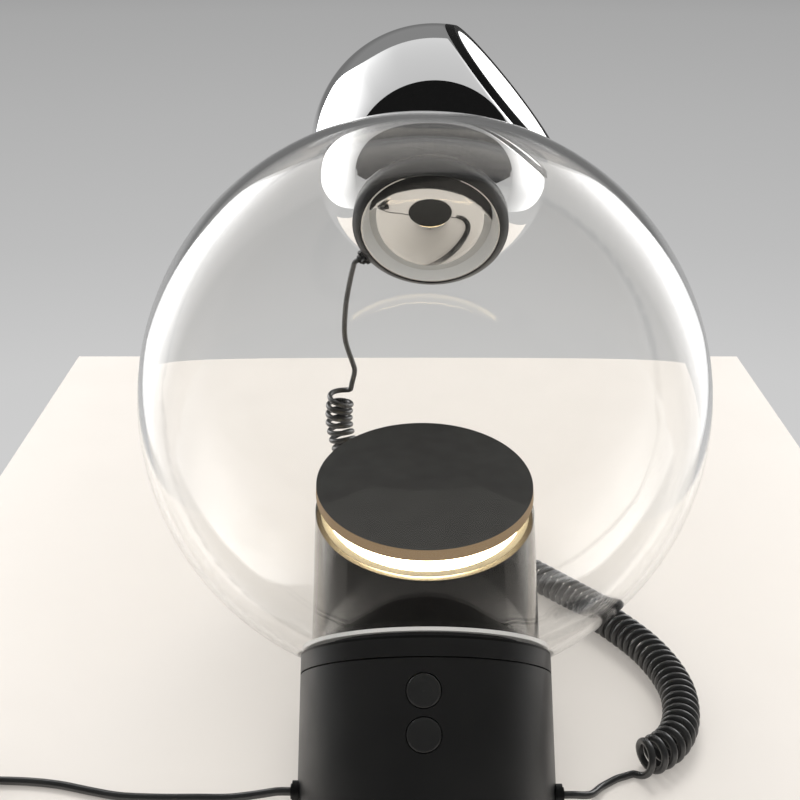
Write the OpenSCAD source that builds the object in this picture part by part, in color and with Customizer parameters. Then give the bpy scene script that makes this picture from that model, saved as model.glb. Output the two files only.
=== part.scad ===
// Table lamp: a leaning black base carries a light tower inside a clear glass globe,
// and a chrome spotlight head sits on the globe's back, fed by a curly lead.
// Millimetres. Origin at the centre of the foot on the table, +Z up, +Y to the back, +X right.

/* [Globe] */
// Outer radius of the glass globe
globe_r = 120; // [112:1:130]
// Thickness of the glass
globe_wall = 3; // [2:0.5:4]
// Width of the glass's seat, from the base's skin to the round opening in the glass
seat_w = 2.5; // [2:0.1:4]

/* [Base] */
// Angle between the base's axis and the table
lean = 48; // [46:1:50]
// Outer radius of the leaning cylinder
base_r = 49.5; // [49:0.1:51]
// Wall of the base
base_wall = 3.2; // [2.5:0.1:4]
// Thickness of the foot pad
pad_t = 0.8; // [0.6:0.1:1.2]
// Thickness of the base plate
plate_t = 2.5; // [2:0.1:4]
// Groove between base and collar
seam_gap = 0.6; // [0.4:0.1:1]
// Room above the ballast, up to the seam
ballast_room = 6; // [4:0.5:14]

/* [Collar] */
// Height of the collar's full radius
collar_h = 6.6; // [5:0.1:9]
// Thickness of the gasket at the base's skin
gasket_t = 1; // [0.6:0.1:1.5]
// Fall of the gasket's seat towards the neck
seat_fall = 1.4; // [1:0.1:2]
// Gap between the collar's neck and the glass
neck_gap = 0.5; // [0.3:0.1:0.8]
// Gap between the trim ring and the inside of the glass
trim_gap = 0.15; // [0.1:0.05:0.5]
// Wall of the collar's neck
collar_wall = 1.35; // [1:0.05:2]
// Height of the bright trim ring
trim_h = 1.3; // [1:0.1:2.5]
// Reach of the trim ring past the collar's neck, over the glass
trim_over = 2.1; // [1:0.1:3]
// Slit in the trim ring, which lets it be wound in through the glass's opening
trim_slit = 1.5; // [1:0.1:3]

/* [Tower] */
// Wall of the tower
tower_wall = 2; // [1.5:0.1:3]
// Height of the tower's lip above the trim ring, at the front
lip_h = 12.7; // [10:0.1:14]
// Height of the light slot under the cap
slot_h = 5.4; // [5:0.1:8]
// Thickness of the cap disc
cap_t = 3; // [2.5:0.1:5]
// Depth of the light slot under the cap
slot_depth = 5; // [4:0.1:7]
// Wall of the diffuser
diffuser_wall = 2.5; // [2:0.1:3]

/* [Buttons] */
// Radius of a button
button_r = 6.2; // [5.5:0.1:7]
// Distance of the upper button from the seam
button_drop = 11.7; // [10:0.1:14]
// Distance between the buttons
button_space = 15.5; // [14:0.1:18]
// Turn of the buttons round the axis
button_turn = 2; // [0:0.5:4]
// Gap round a button
button_gap = 0.35; // [0.3:0.05:0.5]
// Travel of a button
button_travel = 1.1; // [0.8:0.1:1.2]

/* [Head] */
// Radius of the chrome head
head_r = 63.5; // [61:0.5:67]
// Wall of the head
head_wall = 1.6; // [1.2:0.1:2.5]
// Height angle of the head on the globe
head_el = 24.5; // [20:0.5:28]
// Side angle of the head on the globe
head_az = 2.5; // [0:0.5:5]
// Tilt of the emitter from the swivel axis
emitter_tilt = 76; // [72:1:80]
// Turn of the emitter round the swivel axis
emitter_turn = 38.5; // [20:0.5:50]
// Distance of the emitter's cut from the head's centre
emitter_cut = 45.2; // [44:0.1:46]
// Radius of the foot ring
ring_r = 39; // [38:0.1:41]
// Wall of the foot ring
ring_wall = 4.5; // [4:0.1:5]
// Height of the foot's dish over the globe
dish_t = 5; // [5:0.1:7]
// Wall of the foot's dish
dish_wall = 0.8; // [0.6:0.1:1.2]
// Step from the foot ring in to the head's edge
foot_step = 1.1; // [0.5:0.1:2]
// Turn of the lead's gland round the foot ring
gland_turn = 146; // [140:1:152]
// Radius of the swivel spindle
spindle_r = 6; // [5:0.1:7]

/* [Leads] */
// Thickness of the curly lead
lead_d = 2.9; // [2.6:0.1:3]
// Radius of the curls at the middle of the lead
curl_r = 6.2; // [6:0.1:6.4]
// Length of the coil taken by one curl
curl_pitch = 4.5; // [4.4:0.1:4.7]
// Thickness of the power cord
cord_d = 3.2; // [3:0.1:3.3]
// Outer radius of the put away loops at the middle of the cord
loop_r = 25; // [24:0.5:27]
// Number of put away loops
loop_count = 10.25; // [8.25:1:10.25]

/* [Fits] */
// Clearance between parts that are pushed together
fit = 0.15; // [0.1:0.05:0.2]
// Radial clearance of the swivel
swivel_fit = 0.05; // [0.03:0.01:0.08]

/* [Hidden] */
$fn = 96;
globe_u = globe_r / sin(lean);
globe_y = globe_r / tan(lean);
collar_u = globe_u - sqrt(globe_r * globe_r - base_r * base_r) - gasket_t - collar_h;
seam_u = collar_u - seam_gap;
button_upper_u = seam_u - button_drop;
button_lower_u = button_upper_u - button_space;
ballast_top = seam_u - ballast_room;
neck_r = base_r - seat_w;
collar_neck_r = neck_r - neck_gap;
trim_r = collar_neck_r + trim_over;
collar_neck_h = globe_u - sqrt(pow(globe_r - globe_wall, 2) - trim_r * trim_r) + trim_gap - collar_u;
tower_r = collar_neck_r - collar_wall - fit;
reach = 2 * base_r;
base_in = base_r - base_wall;
plate_z = pad_t + plate_t;
flange_u = collar_u + 2;
tower_in = tower_r - tower_wall;
tower_top = (collar_u + collar_neck_h + trim_h) * sin(lean) + tower_r * cos(lean) + lip_h;
cap_z = tower_top + slot_h;
diffuser_r = tower_r - slot_depth;
tray_t = 4;
tray_u = (tower_top - tray_t - tower_in * cos(lean)) / sin(lean);
bridge_t = 3;
bridge_u = tray_u - bridge_t - 0.75;
ledge_u = bridge_u - 2.5;
parts_h = bridge_u - flange_u - 2.5;
led_board_r = diffuser_r - diffuser_wall - 0.5;
led_board_in = led_board_r - 12;
rod_r = 4;
rod_low = 16;
rod_high = bridge_u + 9;
button_back = 4.1;
stem_h = 1.4;
switch_y = button_back + 0.1 + button_travel + stem_h + 3 - base_r;
bracket_y = switch_y + 11.8;
exit_z = 5.5;
exit_left = -6;
exit_right = -8;
exit_reach = base_r + 2;
foot_cut = sqrt(head_r * head_r - pow(ring_r - foot_step, 2));
head_t = foot_cut + dish_t + 2;
dish_bend = 320;
ring_in = ring_r - ring_wall;
gland_t = 1;
gland_reach = ring_r + 5;
hub_r = 10.5;
sleeve_r = sqrt(pow(head_r - head_wall, 2) - emitter_cut * emitter_cut) - 1.6;
board_r = sleeve_r - 4.7;
board_screw_r = board_r - 6.3;
fin_pitch = 9;
fin_count = floor((board_r - 13.2) / fin_pitch);
lead_r = lead_d / 2;
cord_r = cord_d / 2;
curl_z = curl_r + lead_r;
ease = 8;
rings_per_curl = 7;
tube_sides = 6;
loop_rings = 16;
loop_layers = 4;
loop_space = 0.62;
loop_turns = loop_count / loop_layers;
loop_in = loop_r - loop_turns * (cord_d + loop_space);
loop_rise = cord_d + loop_space + 0.08;
loop_lift = 1;
loop_centre = [-195, -20.5];
plug_entry = 13.5;

black = [0.06, 0.06, 0.06];
steel = [0.62, 0.63, 0.65];
white = [0.95, 0.94, 0.92];
green = [0.1, 0.32, 0.18];
rubber = [0.1, 0.1, 0.1];

// Centre line of the curly coil, from its near end to its upper end
curl_route = [
    [80.5, 9.5, curl_z], [89, 13.5, curl_z], [96.5, 20, curl_z], [102.3, 30, curl_z], [105.8, 43.5, curl_z],
    [106.6, 58, curl_z], [104, 74, curl_z], [98, 91, curl_z], [89, 107, curl_z], [79, 122, curl_z],
    [67, 138, curl_z], [54, 154, curl_z], [38, 172, curl_z], [21, 190, curl_z], [4, 207, curl_z + 0.5],
    [-12, 222, curl_z + 3], [-25, 233, 15.5], [-35, 241, 24.5], [-41, 246.5, 35], [-44, 249.5, 46.5],
    [-44, 250.5, 57.5], [-42, 250.5, 68]
];
// Plain lead between the base and the coil
tail_route = [[62, -5.5, 3.6], [67.5, 1.5, lead_r + 0.3]];
// Plain lead between the coil and the head's gland, from the top down to the coil
rise_route = [[-37, 238, 132], [-39.5, 244, 116], [-40, 248, 98]];
// Power cord from the base to its loops
cord_route = [
    [-66, -5.5, 3.4], [-76, -5, cord_r + 0.1], [-88, -5, cord_r + 0.1], [-102, -5, cord_r + 0.1],
    [-117, -4, cord_r + 0.1], [-129, -1, cord_r + 0.1], [-141, 2.5, cord_r + 0.1],
    [-153, 4.5, cord_r + 0.1], [-165, 5, cord_r + 0.3], [-176, 5, cord_r + 0.7]
];
// Lead in the foot, in the foot's own axes
hub_route = [
    [17, 1, 1.1], [20.5, 7, 1], [18, 14.5, 0.9], [10, 20.5, 0.8], [0, 21.8, 0.8], [-9.5, 18.5, 0.9],
    [-17, 16.3, 1]
];

// Places: along the leaning axis, on the globe under the head, in the head, on the emitter
module on_axis(u = 0) {
    rotate([lean - 90, 0, 0]) translate([0, 0, u]) children();
}

module on_foot(t = 0) {
    translate([0, globe_y, globe_r]) rotate([0, 0, -head_az]) rotate([head_el - 90, 0, 0])
        translate([0, 0, globe_r + t]) children();
}

module on_emitter(h = 0) {
    on_foot(head_t) rotate([0, 0, -emitter_turn]) rotate([0, emitter_tilt, 0])
        translate([0, 0, h]) children();
}

// Places a button's axis: z runs inward from the base's outer skin
module at_button(u) {
    on_axis(u) rotate([0, 0, -button_turn]) translate([0, -base_r, 0]) rotate([-90, 0, 0]) children();
}

module slab(z0, z1) {
    translate([-200, -200, z0]) cube([400, 500, z1 - z0]);
}

module ring(r_out, r_in, h) {
    difference() {
        cylinder(r = r_out, h = h);
        translate([0, 0, -1]) cylinder(r = r_in, h = h + 2);
    }
}

module rounded(w, h, r) {
    translate([r, 0]) square([w - 2 * r, h]);
    translate([0, r]) square([w, h - 2 * r]);
    for (x = [r, w - r], y = [r, h - r]) translate([x, y]) circle(r = r, $fn = 32);
}

// A point given in the foot's axes, in the shared frame
function foot_point(x, y, t) =
    let (z = globe_r + t)
    let (back = y * sin(head_el) + z * cos(head_el))
    let (high = z * sin(head_el) - y * cos(head_el))
    [x * cos(head_az) + back * sin(head_az), globe_y - x * sin(head_az) + back * cos(head_az),
        globe_r + high];

function unit(v) = v / norm(v);

function blend_four(a, b, c, d, t) =
    0.5 * (2 * b + (c - a) * t + (2 * a - 5 * b + 4 * c - d) * t * t + (3 * b - a - 3 * c + d) * t * t * t);

// A smooth line through the points of a route
function smooth(p, per) = let (last = len(p) - 1) concat(
    [for (i = [0 : last - 1], j = [0 : per - 1])
        blend_four(p[max(i - 1, 0)], p[i], p[i + 1], p[min(i + 2, last)], j / per)],
    [p[last]]);

// The same with straight ends, square to what they meet
function led(p, per) = let (last = len(p) - 1) concat(
    [for (i = [0 : last - 1], j = [0 : i == 0 || i == last - 1 ? 0 : per - 1])
        blend_four(p[max(i - 1, 0)], p[i], p[i + 1], p[min(i + 2, last)], j / per)],
    [p[last]]);

function tangents(p) = let (last = len(p) - 1)
    [for (i = [0 : last]) unit(p[min(i + 1, last)] - p[max(i - 1, 0)])];

function squared(n, t) = unit(n - (n * t) * t);

// Normals carried along a line without twist
function carried(t, first) =
    [for (i = 0, n = squared(first, t[0]); i < len(t); i = i + 1, n = i < len(t) ? squared(n, t[i]) : n) n];

function lengths(p) =
    [for (i = 0, s = 0; i < len(p); i = i + 1, s = i < len(p) ? s + norm(p[i] - p[i - 1]) : s) s];

// One tube of triangles along a line of points with a normal at each
module tube(p, normals, r, sides) {
    t = tangents(p);
    last = len(p) - 1;
    points = [for (i = [0 : last], k = [0 : sides - 1])
        p[i] + r * (cos(360 * k / sides) * normals[i] + sin(360 * k / sides) * cross(t[i], normals[i]))];
    walls = [for (i = [0 : last - 1], k = [0 : sides - 1])
        let (a = i * sides + k, b = i * sides + (k + 1) % sides)
        each [[a, b + sides, b], [a, a + sides, b + sides]]];
    start = [for (k = [1 : sides - 2]) [0, k, k + 1]];
    end = [for (k = [1 : sides - 2]) [last * sides, last * sides + k + 1, last * sides + k]];
    polyhedron(points = points, faces = concat(walls, start, end), convexity = 10);
}

module plain_lead(route, d, per) {
    p = led(route, per);
    tube(p, carried(tangents(p), [0, 0, 1]), d / 2, 8);
}

// Curls: points of the lead round the coil's centre line, with both ends running along it
curl_line = smooth(curl_route, 8);
curl_run = lengths(curl_line);
curl_length = curl_run[len(curl_run) - 1];
curl_tables = [for (k = [0 : 2]) [for (i = [0 : len(curl_line) - 1]) [curl_run[i], curl_line[i][k]]]];
curl_steps = floor(curl_length / curl_pitch * rings_per_curl);

function coil_at(s) = [for (k = [0 : 2]) lookup(s, curl_tables[k])];

function wound(s) =
    s < ease ? s * s / (2 * ease)
    : s > curl_length - ease ? curl_length - ease - pow(curl_length - s, 2) / (2 * ease)
    : s - ease / 2;

curl_s = [for (i = [0 : curl_steps]) curl_length * i / curl_steps];
curl_centres = [for (s = curl_s) coil_at(s)];
curl_tangents = tangents(curl_centres);
curl_normals = carried(curl_tangents, [0, 0, -1]);
curl_radials = [for (i = [0 : curl_steps]) let (a = -360 * wound(curl_s[i]) / curl_pitch)
    cos(a) * curl_normals[i] + sin(a) * cross(curl_tangents[i], curl_normals[i])];
curl_wound = [for (i = [0 : curl_steps]) curl_centres[i] + curl_r * curl_radials[i]];
curl_first = curl_wound[0] - lead_d * curl_tangents[0];
curl_last = curl_wound[curl_steps] + lead_d * curl_tangents[curl_steps];
curl_points = concat([curl_first], curl_wound, [curl_last]);

// Put away loops: four layers that spiral in and out, then a straight run to the plug
loop_steps = round(loop_count * loop_rings);

function loop_radius(n) =
    let (m = n - 2 * loop_turns * floor(n / (2 * loop_turns)))
    loop_in + (loop_r - loop_in) * abs(1 - m / loop_turns);

function loop_layer(n) =
    let (k = min(max(round(n / loop_turns), 1), loop_layers - 1))
    let (x = min(max((n - k * loop_turns) * 2 + 0.5, 0), 1))
    k - 1 + x * x * (3 - 2 * x);

loop_wound = [for (i = [0 : loop_steps]) let (n = i / loop_rings, a = 90 + 360 * n)
    [loop_centre[0] + loop_radius(n) * cos(a), loop_centre[1] + loop_radius(n) * sin(a),
        loop_lift + cord_r + loop_rise * loop_layer(n)]];
loop_end = loop_wound[loop_steps];
loop_first = loop_wound[0] + [1.5 * cord_d, 0.1, 0];
loop_points = concat([loop_first], loop_wound, [for (k = [1 : 3]) loop_end - [0, plug_entry * k / 3, 0]]);
plug_face = loop_end[1] - plug_entry;

// Least gap of a wound lead to itself, between points at least half a turn apart
function self_gap(p, half, most, d) = min([for (i = [0 : len(p) - 1])
    min([for (j = [i + half : min(i + most, len(p) - 1)]) if (j < len(p)) norm(p[i] - p[j]), 1000])]) - d;

echo(curls = (curl_length - ease) / curl_pitch,
    curl_gap = self_gap(curl_wound, 4, 3 * rings_per_curl, lead_d),
    loop_gap = self_gap(loop_wound, 8, loop_steps, cord_d));

// Base
module base_body() {
    color(black) difference() {
        intersection() {
            union() {
                on_axis(-reach) cylinder(r = base_r, h = reach + seam_u);
                on_axis(seam_u - 1) cylinder(r = base_in + 1.6, h = 1 + seam_gap);
            }
            slab(pad_t, 200);
        }
        on_axis(-reach - 1) cylinder(r = base_in, h = 2 * reach);
        for (u = [button_upper_u, button_lower_u]) at_button(u) {
            translate([0, 0, -2]) cylinder(r = button_r + button_gap, h = 12);
            translate([0, 0, 2.6]) cylinder(r = button_r + 1.5, h = 8);
        }
        for (side = [-1, 1]) translate([0, side < 0 ? exit_left : exit_right, exit_z])
            rotate([0, 90 * side, 0]) cylinder(r = 3, h = base_r + 5);
    }
}

screw_top = pad_t + 11.1;
screw_front = (bracket_y + 2.5 + screw_top * cos(lean)) / sin(lean);
screw_spots = [[0, screw_front], [24, 10], [-24, 10]];

module base_plate() {
    color(steel) difference() {
        intersection() {
            on_axis(-reach) cylinder(r = base_in - 3 * fit, h = reach + seam_u - 0.5);
            slab(pad_t, plate_z);
        }
        for (p = screw_spots) translate([p[0], p[1], 0]) {
            cylinder(r = 3.8, h = pad_t + 1.6);
            cylinder(r = 2.2, h = 20);
        }
    }
}

module foot_pad() {
    color(rubber) intersection() {
        on_axis(-reach) cylinder(r = base_in - 3 * fit, h = 2 * reach);
        slab(0, pad_t);
    }
}

module plate_screws() {
    color(steel) for (p = screw_spots) translate([p[0], p[1], pad_t + 0.1]) {
        cylinder(r = 3.6, h = 1.5);
        cylinder(r = 2, h = 11);
    }
}

module ballast() {
    color([0.3, 0.3, 0.32]) difference() {
        intersection() {
            on_axis(-reach) cylinder(r = base_in - 1, h = reach + ballast_top);
            slab(plate_z, 200);
            on_axis() translate([-reach, bracket_y, -reach]) cube([2 * reach, 2 * reach, 2 * reach]);
        }
        on_axis(rod_low) cylinder(r = rod_r + swivel_fit, h = 100);
        for (p = screw_spots) translate([p[0], p[1], 0]) cylinder(r = 2.1, h = 13.5);
    }
}

module tie_rod() {
    color(steel) on_axis(rod_low) ring(rod_r, 2.4, rod_high - rod_low);
}

module rod_nut() {
    color(steel) on_axis(bridge_u + bridge_t) difference() {
        cylinder(r = 8, h = 5, $fn = 6);
        translate([0, 0, -1]) cylinder(r = rod_r + swivel_fit, h = 8);
    }
}

module switch_bracket() {
    color(black) on_axis(button_lower_u - 6.8) translate([-9, switch_y + 1.6, 0])
        cube([18, bracket_y - switch_y - 1.6, button_space + 10.5]);
}

module switch_board() {
    color(green) on_axis(button_lower_u - 8.8) translate([-12, switch_y, 0])
        cube([24, 1.6, button_space + 17.5]);
}

module tact_switches() {
    color([0.2, 0.2, 0.22]) for (u = [button_upper_u, button_lower_u])
        on_axis(u) translate([-base_r * sin(button_turn), switch_y, 0]) {
            translate([-3, -3.2, -3]) cube([6, 3.2, 6]);
            translate([0, -3, 0]) rotate([90, 0, 0]) cylinder(r = 1.7, h = stem_h, $fn = 48);
        }
}

// A button: domed face just proud of the base, flange behind the wall
module button(u) {
    color([0.13, 0.13, 0.13]) at_button(u) rotate_extrude() polygon([
        [0, -0.7], [3, -0.6], [5, -0.35], [button_r - 0.4, -0.1], [button_r, 0.3], [button_r, 2.9],
        [button_r + 1, 2.9], [button_r + 1, button_back], [0, button_back]
    ]);
}

module button_upper() {
    button(button_upper_u);
}

module button_lower() {
    button(button_lower_u);
}

// A grommet in the base's side wall, with a flat outer face for the cord
module grommet(side, y) {
    color(rubber) difference() {
        translate([0, y, exit_z]) rotate([0, 90 * side, 0]) {
            translate([0, 0, base_in + 0.2]) cylinder(r = 2.9, h = exit_reach - base_in - 0.2);
            translate([0, 0, base_in + 2]) cylinder(r = 4.1, h = exit_reach - base_in - 2.6);
        }
        difference() {
            on_axis(-reach) cylinder(r = base_r + 0.05, h = 2 * reach);
            translate([0, y, exit_z]) rotate([0, 90 * side, 0]) cylinder(r = 2.9, h = 2 * reach);
        }
    }
}

module power_grommet() {
    grommet(-1, exit_left);
}

module lead_grommet() {
    grommet(1, exit_right);
}

// Collar, glass and tower
module collar() {
    color(black) intersection() {
        on_axis() rotate_extrude() polygon([
            [tower_in - 3, collar_u], [base_r, collar_u], [base_r, collar_u + collar_h],
            [collar_neck_r, collar_u + collar_h - seat_fall], [collar_neck_r, collar_u + collar_neck_h],
            [tower_r + fit, collar_u + collar_neck_h], [tower_r + fit, flange_u], [tower_in - 3, flange_u]
        ]);
        slab(pad_t, 200);
    }
}

module trim_ring() {
    color([0.9, 0.9, 0.9]) on_axis(collar_u + collar_neck_h) difference() {
        ring(trim_r, tower_r + fit, trim_h);
        translate([-trim_slit / 2, 0, -1]) cube([trim_slit, reach, trim_h + 2]);
    }
}

module globe_gasket() {
    low = collar_u + collar_h;
    fall = seat_fall * seat_w / (seat_w + neck_gap) - 0.02;
    inner = globe_u - sqrt(globe_r * globe_r - neck_r * neck_r) - 0.02;
    outer = globe_u - sqrt(globe_r * globe_r - pow(base_r - 0.1, 2)) - 0.02;
    color(rubber) on_axis() rotate_extrude()
        polygon([[neck_r, low - fall], [base_r - 0.1, low], [base_r - 0.1, outer], [neck_r, inner]]);
}

module globe() {
    color([0.85, 0.92, 0.95, 0.25]) on_axis(globe_u) difference() {
        sphere(r = globe_r);
        sphere(r = globe_r - globe_wall);
        translate([0, 0, -globe_r - 1]) cylinder(r = neck_r, h = 40);
    }
}

module tower_tube() {
    color([0.2, 0.19, 0.18]) intersection() {
        on_axis() {
            translate([0, 0, flange_u]) ring(tower_r, tower_in, 160);
            translate([0, 0, ledge_u]) ring(tower_in + 0.5, tower_in - 4, bridge_u - ledge_u);
        }
        slab(plate_z + 0.1, tower_top);
    }
}

module tower_bridge() {
    color(steel) on_axis(bridge_u) ring(tower_in - fit, rod_r + swivel_fit, bridge_t);
}

module driver_board() {
    color(green) intersection() {
        on_axis(flange_u) ring(tower_in - fit, rod_r + 1, 1.6);
        slab(plate_z + 0.1, 200);
    }
}

module driver_parts() {
    color([0.15, 0.15, 0.16]) on_axis(flange_u + 1.6) {
        translate([-30, -8, 0]) cube([18, 16, parts_h - 2]);
        translate([24, 0, 0]) cylinder(r = 5, h = parts_h, $fn = 48);
        translate([12, 16, 0]) cylinder(r = 5, h = parts_h, $fn = 48);
        translate([-8, 14, 0]) cube([12, 12, parts_h - 4]);
        translate([-12, -28, 0]) cube([24, 10, 3]);
    }
}

// A level slice of an upright wall that leans with the tower
module level_ring(r_out, r_in, z0, z1) {
    intersection() {
        on_axis(20) difference() {
            cylinder(r = r_out, h = 200);
            translate([0, 0, -1]) cylinder(r = r_in, h = 202);
        }
        slab(z0, z1);
    }
}

module light_tray() {
    color(steel) intersection() {
        on_axis(20) cylinder(r = tower_in - 0.1, h = 200);
        slab(tower_top - tray_t, tower_top);
    }
}

module ring_board() {
    color(white) level_ring(led_board_r, led_board_in, tower_top, tower_top + 1.6);
}

module ring_leds() {
    r = led_board_r - 4.5;
    z = tower_top + 1.6;
    color([1, 0.95, 0.7]) for (a = [0 : 15 : 345])
        translate([r * cos(a), z / tan(lean) + r * sin(a) / sin(lean), z]) rotate([0, 0, a])
            translate([-1.4, -1.4, 0]) cube([2.8, 2.8, 1.1]);
}

module ring_diffuser() {
    color(white) level_ring(diffuser_r, diffuser_r - diffuser_wall, tower_top, cap_z);
}

module cap_posts() {
    color(steel) for (x = [-1, 1] * (led_board_in - 12), y = [-1, 1] * (led_board_in - 11))
        translate([x, (tower_top + slot_h / 2) / tan(lean) + y, tower_top]) cylinder(r = 2.5, h = slot_h);
}

module cap_disc() {
    color([0.16, 0.16, 0.16]) intersection() {
        on_axis(20) cylinder(r = tower_r, h = 200);
        slab(cap_z, cap_z + cap_t);
    }
}

// Foot of the head on the globe
module gland_hole() {
    on_foot(gland_t) rotate([0, 0, gland_turn]) rotate([0, 90, 0]) translate([0, 0, ring_in - 5])
        cylinder(r = 2.6, h = ring_wall + 10);
}

module foot_ring() {
    color(black) difference() {
        on_foot() rotate_extrude() polygon([
            [ring_in, -12], [ring_r, -12], [ring_r, dish_t + 0.5], [ring_r - 0.8, dish_t + 1.5],
            [ring_in, dish_t + 1.5]
        ]);
        translate([0, globe_y, globe_r]) sphere(r = globe_r + 0.05);
        gland_hole();
    }
}

// Mirror cup: a hollow face over the globe, with a wall inside the foot ring
module foot_dish() {
    r = ring_in - 0.05;
    inner = r - dish_wall;
    low = sqrt(globe_r * globe_r - ring_in * ring_in) - globe_r + 0.5;
    face = [for (i = [0 : 8]) let (x = inner * i / 8) [x, dish_t - 1.9 + x * x / (2 * dish_bend)]];
    color([0.85, 0.85, 0.86]) difference() {
        on_foot() rotate_extrude()
            polygon(concat(face, [[inner, low], [r, low], [r, dish_t + 1.5], [0, dish_t + 1.5]]));
        gland_hole();
    }
}

module cable_hub() {
    color(black) on_foot() rotate_extrude() polygon([
        [0, dish_t - 4.5], [hub_r - 2.2, dish_t - 4.4], [hub_r - 0.7, dish_t - 4.1], [hub_r, dish_t - 3.5],
        [hub_r, dish_t - 1.9], [0, dish_t - 1.9]
    ]);
}

module hub_lead() {
    a = gland_turn;
    start = [[hub_r - 0.1, 0, 1.25], [hub_r + 3, 0.2, 1.2]];
    finish = [[(ring_in - 4) * cos(a), (ring_in - 4) * sin(a), gland_t],
        [(ring_in - 0.6) * cos(a), (ring_in - 0.6) * sin(a), gland_t]];
    color(rubber) on_foot() difference() {
        plain_lead(concat(start, hub_route, finish), lead_d, 2);
        translate([0, 0, -5]) cylinder(r = hub_r + 0.05, h = 20);
    }
}

// Gland with a cross of four ribs round the lead
module head_gland() {
    color(rubber) on_foot(gland_t) rotate([0, 0, gland_turn]) rotate([0, 90, 0]) {
        translate([0, 0, ring_in - 0.6]) cylinder(r = 2.5, h = gland_reach - ring_in + 0.6);
        difference() {
            translate([0, 0, ring_r + 1]) for (turn = [0, 90]) rotate([0, 0, turn])
                translate([-4.4, -1, 0]) cube([8.8, 2, 2]);
            cylinder(r = 2.4, h = 100);
        }
    }
}

module swivel_spindle() {
    color(steel) on_foot(dish_t + 1.5) ring(spindle_r, 2.5, 11);
}

module thrust_washer() {
    color(steel) on_foot(dish_t + 1.5) ring(13, spindle_r + swivel_fit, 0.4);
}

module spindle_clip() {
    color(steel) on_foot(head_t - foot_cut + 3.4) ring(spindle_r + 4, spindle_r, 2);
}

// Head
module swivel_plate() {
    r = sqrt(pow(head_r - head_wall, 2) - pow(foot_cut, 2)) - fit;
    color(steel) on_foot(head_t - foot_cut) ring(r, spindle_r + swivel_fit, 3);
}

module head_shell() {
    color([0.82, 0.83, 0.85]) difference() {
        on_foot(head_t) sphere(r = head_r);
        on_foot(head_t) sphere(r = head_r - head_wall);
        on_foot(head_t - foot_cut - 60) cylinder(r = head_r, h = 60);
        on_emitter(emitter_cut) cylinder(r = head_r, h = 60);
    }
}

module head_bezel() {
    skin = [for (h = [emitter_cut + 0.1 : 0.6 : emitter_cut + 3.1]) [sqrt(head_r * head_r - h * h), h]];
    front = emitter_cut + 3.1;
    color(black) on_emitter() rotate_extrude() polygon(concat(skin, [
        [board_r + 1.9, front], [board_r + 1.9, front - 1.8], [board_r + fit, front - 1.8],
        [board_r + fit, emitter_cut - 9], [sleeve_r, emitter_cut - 9], [sleeve_r, emitter_cut + 0.1]
    ]));
}

module head_diffuser() {
    r = board_r + 1.8;
    face = emitter_cut + 3.1;
    color(white) on_emitter() rotate_extrude() polygon([
        [0, face - 1.8], [r, face - 1.8], [r, face - 0.6], [r * 0.8, face - 0.3],
        [r * 0.5, face - 0.05], [0, face + 0.1]
    ]);
}

module head_board() {
    color(white) on_emitter(emitter_cut - 8.4) difference() {
        cylinder(r = board_r, h = 1.6);
        for (a = [0 : 120 : 240]) rotate([0, 0, a]) translate([board_screw_r, 0, -1])
            cylinder(r = 1.6, h = 4);
    }
}

module head_leds() {
    color([1, 0.95, 0.7]) on_emitter(emitter_cut - 6.8) for (a = [0 : 30 : 330]) rotate([0, 0, a])
        translate([board_r - 17.7, -1.4, 0]) cube([2.8, 2.8, 1.1]);
}

module head_heatsink() {
    color([0.55, 0.56, 0.58]) on_emitter(emitter_cut - 31) difference() {
        union() {
            translate([0, 0, 19]) cylinder(r = board_r, h = 3.6);
            for (k = [-fin_count : fin_count]) translate([k * fin_pitch - 1, 18.3 - board_r, 0])
                cube([2, 2 * (board_r - 18.3), 20]);
        }
        for (a = [0 : 120 : 240]) rotate([0, 0, a]) translate([board_screw_r, 0, 18])
            cylinder(r = 1.55, h = 6);
    }
}

module head_screws() {
    color(steel) on_emitter(emitter_cut - 12) for (a = [0 : 120 : 240]) rotate([0, 0, a])
        translate([board_screw_r, 0, 0]) {
        cylinder(r = 1.5, h = 5.3);
        translate([0, 0, 5.2]) cylinder(r = 2.8, h = 1.6);
    }
}

// Leads and power cord
module lead_tail() {
    start = [[exit_reach, exit_right, exit_z], [exit_reach + 4, exit_right, exit_z]];
    finish = [curl_first - 4 * curl_tangents[0], curl_first];
    color(rubber) plain_lead(concat(start, tail_route, finish), lead_d, 3);
}

module curly_lead() {
    radials = concat([curl_radials[0]], curl_radials, [curl_radials[curl_steps]]);
    t = tangents(curl_points);
    normals = [for (i = [0 : len(t) - 1]) squared(radials[i], t[i])];
    color(rubber) tube(curl_points, normals, lead_r, tube_sides);
}

module lead_rise() {
    x = cos(gland_turn);
    y = sin(gland_turn);
    start = [for (r = [gland_reach, gland_reach + 3]) foot_point(r * x, r * y, gland_t)];
    finish = [curl_last + 8 * curl_tangents[curl_steps], curl_last];
    color(rubber) plain_lead(concat(start, rise_route, finish), lead_d, 3);
}

module power_cord() {
    start = [[-exit_reach, exit_left, exit_z], [-exit_reach - 5, exit_left, exit_z]];
    finish = [loop_first + 5 * unit(loop_first - loop_wound[0]), loop_first];
    color(rubber) plain_lead(concat(start, cord_route, finish), cord_d, 2);
}

module power_coil() {
    t = tangents(loop_points);
    color(rubber) tube(loop_points, [for (v = t) squared([0, 0, 1], v)], cord_r, tube_sides);
}

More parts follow.
